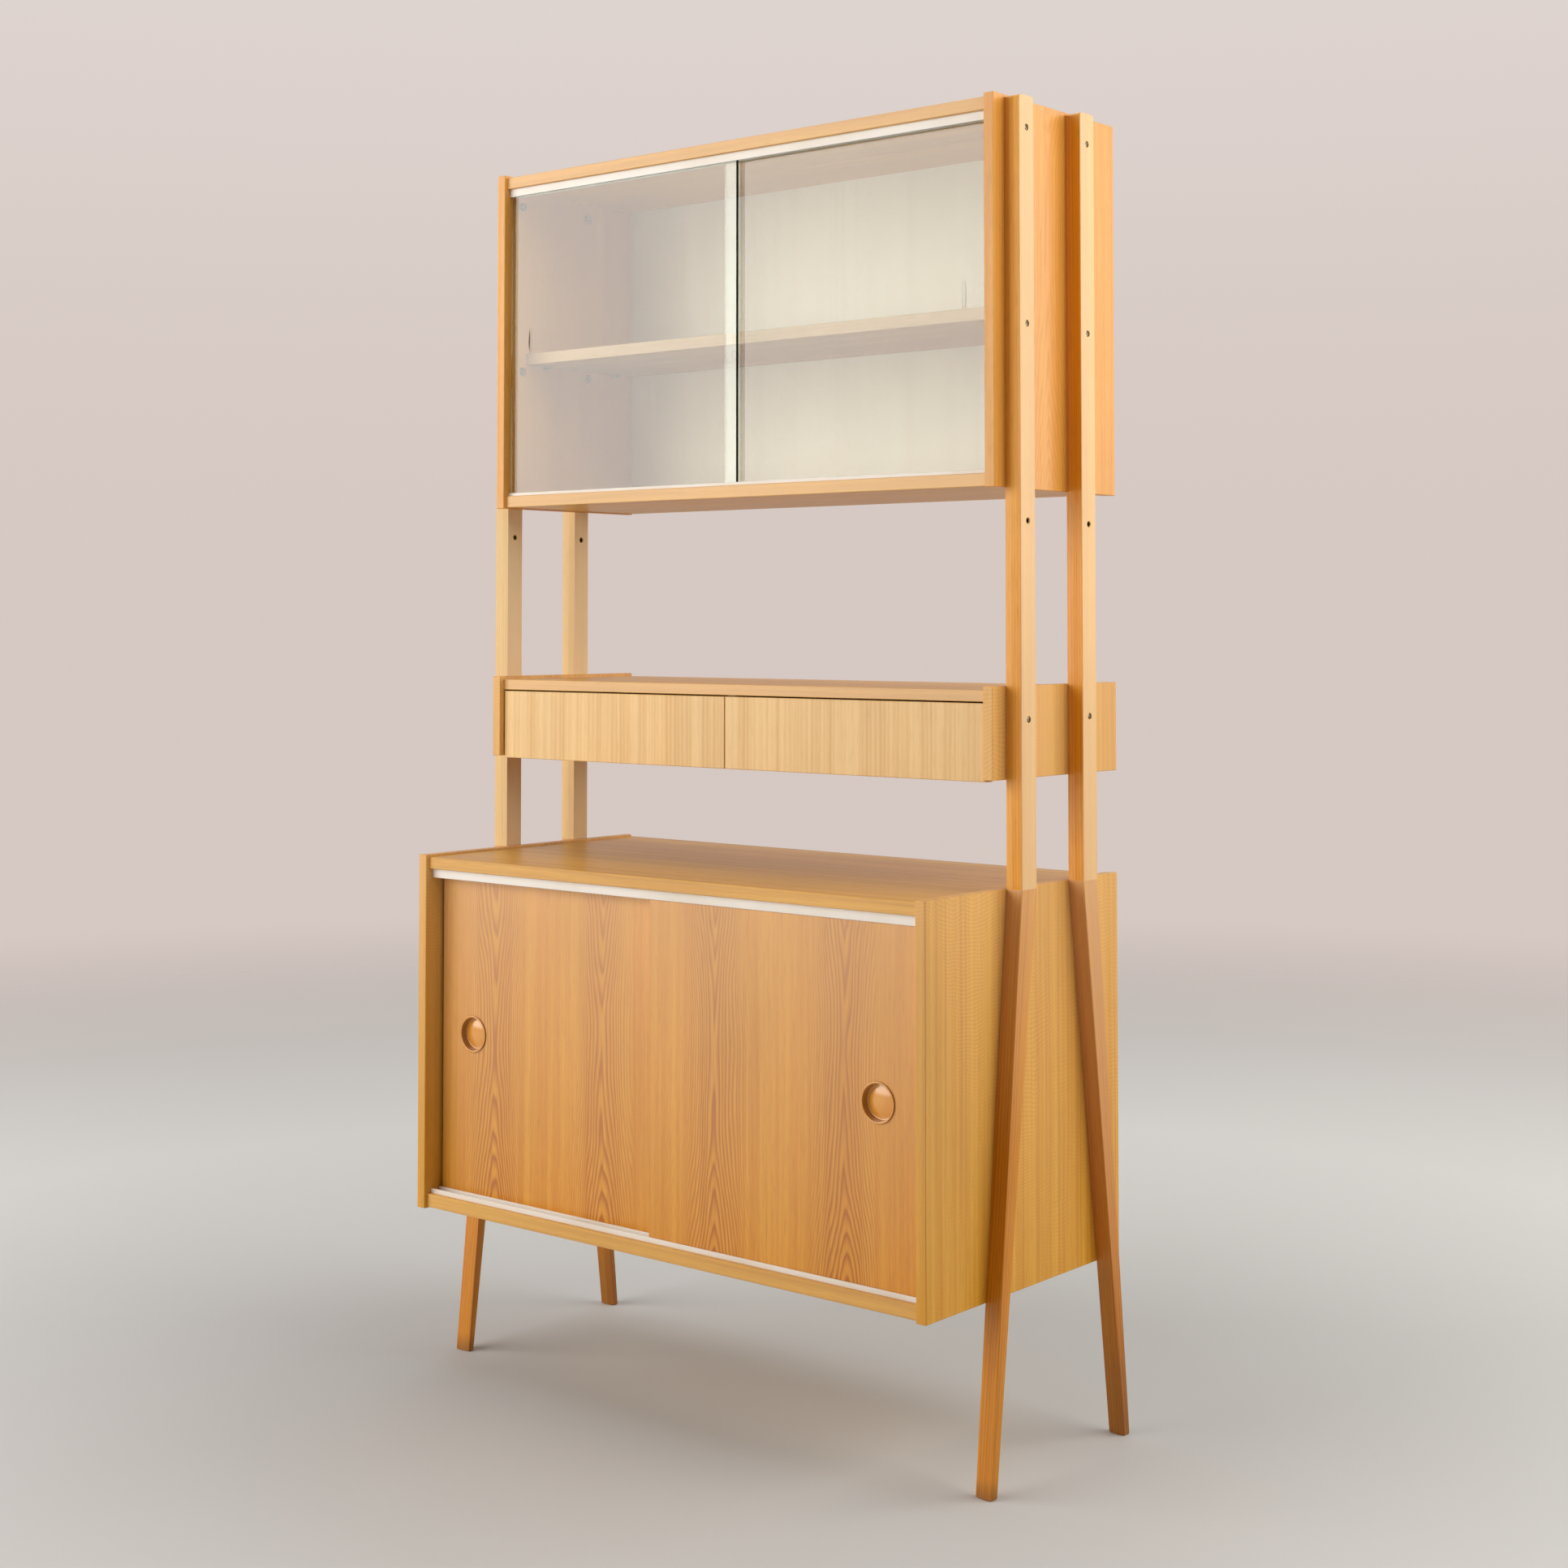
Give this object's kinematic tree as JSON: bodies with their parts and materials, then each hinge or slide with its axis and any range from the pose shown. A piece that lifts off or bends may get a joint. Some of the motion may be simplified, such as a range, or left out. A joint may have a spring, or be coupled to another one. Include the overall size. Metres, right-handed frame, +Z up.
{
  "type": "highboard",
  "caption": "Mid-century highboard: sliding-door base, drawer unit and glazed upper cabinet carried between side posts on splayed tapered legs.",
  "frame": {"origin": "On the floor under the middle of the outer box.", "axes": "+Z up, -Y towards the user who faces the doors, +X to that user's right."},
  "size_m": [1.012, 0.46, 1.845],
  "materials": {
    "ash_veneer": "honey-toned ash veneer under a satin lacquer",
    "ash_solid": "solid ash, planed and satin lacquered",
    "shelf_ash": "pale ash veneered shelf board, satin lacquer",
    "beech": "planed beech, thin clear lacquer",
    "plywood": "thin birch plywood, sanded",
    "white_plastic": "extruded off-white plastic track, semi-gloss",
    "clear_glass": "clear sheet glass with ground edges and ground finger grips",
    "brass": "tarnished turned brass",
    "steel": "plain zinc-plated steel screws"
  },
  "bodies": {
    "root": {"drawer_runners": "beech", "drawer_unit_back": "plywood", "drawer_unit_bolts": "brass", "drawer_unit_bottom": "plywood", "drawer_unit_divider": "beech", "drawer_unit_nuts": "brass", "drawer_unit_side_left": "ash_veneer", "drawer_unit_side_right": "ash_veneer", "drawer_unit_top": "ash_veneer", "leg_front_left": "ash_solid", "leg_front_right": "ash_solid", "leg_rear_left": "ash_solid", "leg_rear_right": "ash_solid", "leg_screws": "steel", "lower_back": "plywood", "lower_bottom": "ash_veneer", "lower_shelf": "shelf_ash", "lower_shelf_pins": "brass", "lower_side_left": "ash_veneer", "lower_side_right": "ash_veneer", "lower_top": "ash_veneer", "lower_track_bottom": "white_plastic", "lower_track_top": "white_plastic", "post_dowels": "beech", "post_front_left": "ash_solid", "post_front_right": "ash_solid", "post_hole_sleeves": "brass", "post_rear_left": "ash_solid", "post_rear_right": "ash_solid", "upper_back": "plywood", "upper_bolts": "brass", "upper_bottom": "ash_veneer", "upper_nuts": "brass", "upper_shelf": "shelf_ash", "upper_shelf_pins": "brass", "upper_side_left": "ash_veneer", "upper_side_right": "ash_veneer", "upper_top": "ash_veneer", "upper_track_bottom": "white_plastic", "upper_track_top": "white_plastic"},
    "lower_door_left": {"lower_door_left": "ash_veneer", "pull_left": "ash_solid"},
    "lower_door_right": {"lower_door_right": "ash_veneer", "pull_right": "ash_solid"},
    "glass_left": {"glass_left": "clear_glass"},
    "glass_right": {"glass_right": "clear_glass"},
    "drawer_left": {"drawer_front_left": "ash_veneer", "drawer_outer_side_left": "beech", "drawer_inner_side_left": "beech", "drawer_back_left": "beech", "drawer_base_left": "plywood"},
    "drawer_right": {"drawer_front_right": "ash_veneer", "drawer_outer_side_right": "beech", "drawer_inner_side_right": "beech", "drawer_back_right": "beech", "drawer_base_right": "plywood"}
  },
  "joints": [
    {"name": "lower_door_left_slide", "type": "slide", "parent": "root", "child": "lower_door_left", "axis": [1, 0, 0], "range_m": [0, 0.449]},
    {"name": "lower_door_right_slide", "type": "slide", "parent": "root", "child": "lower_door_right", "axis": [-1, 0, 0], "range_m": [0, 0.449]},
    {"name": "glass_left_slide", "type": "slide", "parent": "root", "child": "glass_left", "axis": [1, 0, 0], "range_m": [0, 0.449]},
    {"name": "glass_right_slide", "type": "slide", "parent": "root", "child": "glass_right", "axis": [-1, 0, 0], "range_m": [0, 0.449]},
    {"name": "drawer_left_slide", "type": "slide", "parent": "root", "child": "drawer_left", "axis": [0, -1, 0], "range_m": [0, 0.2]},
    {"name": "drawer_right_slide", "type": "slide", "parent": "root", "child": "drawer_right", "axis": [0, -1, 0], "range_m": [0, 0.2]}
  ]
}
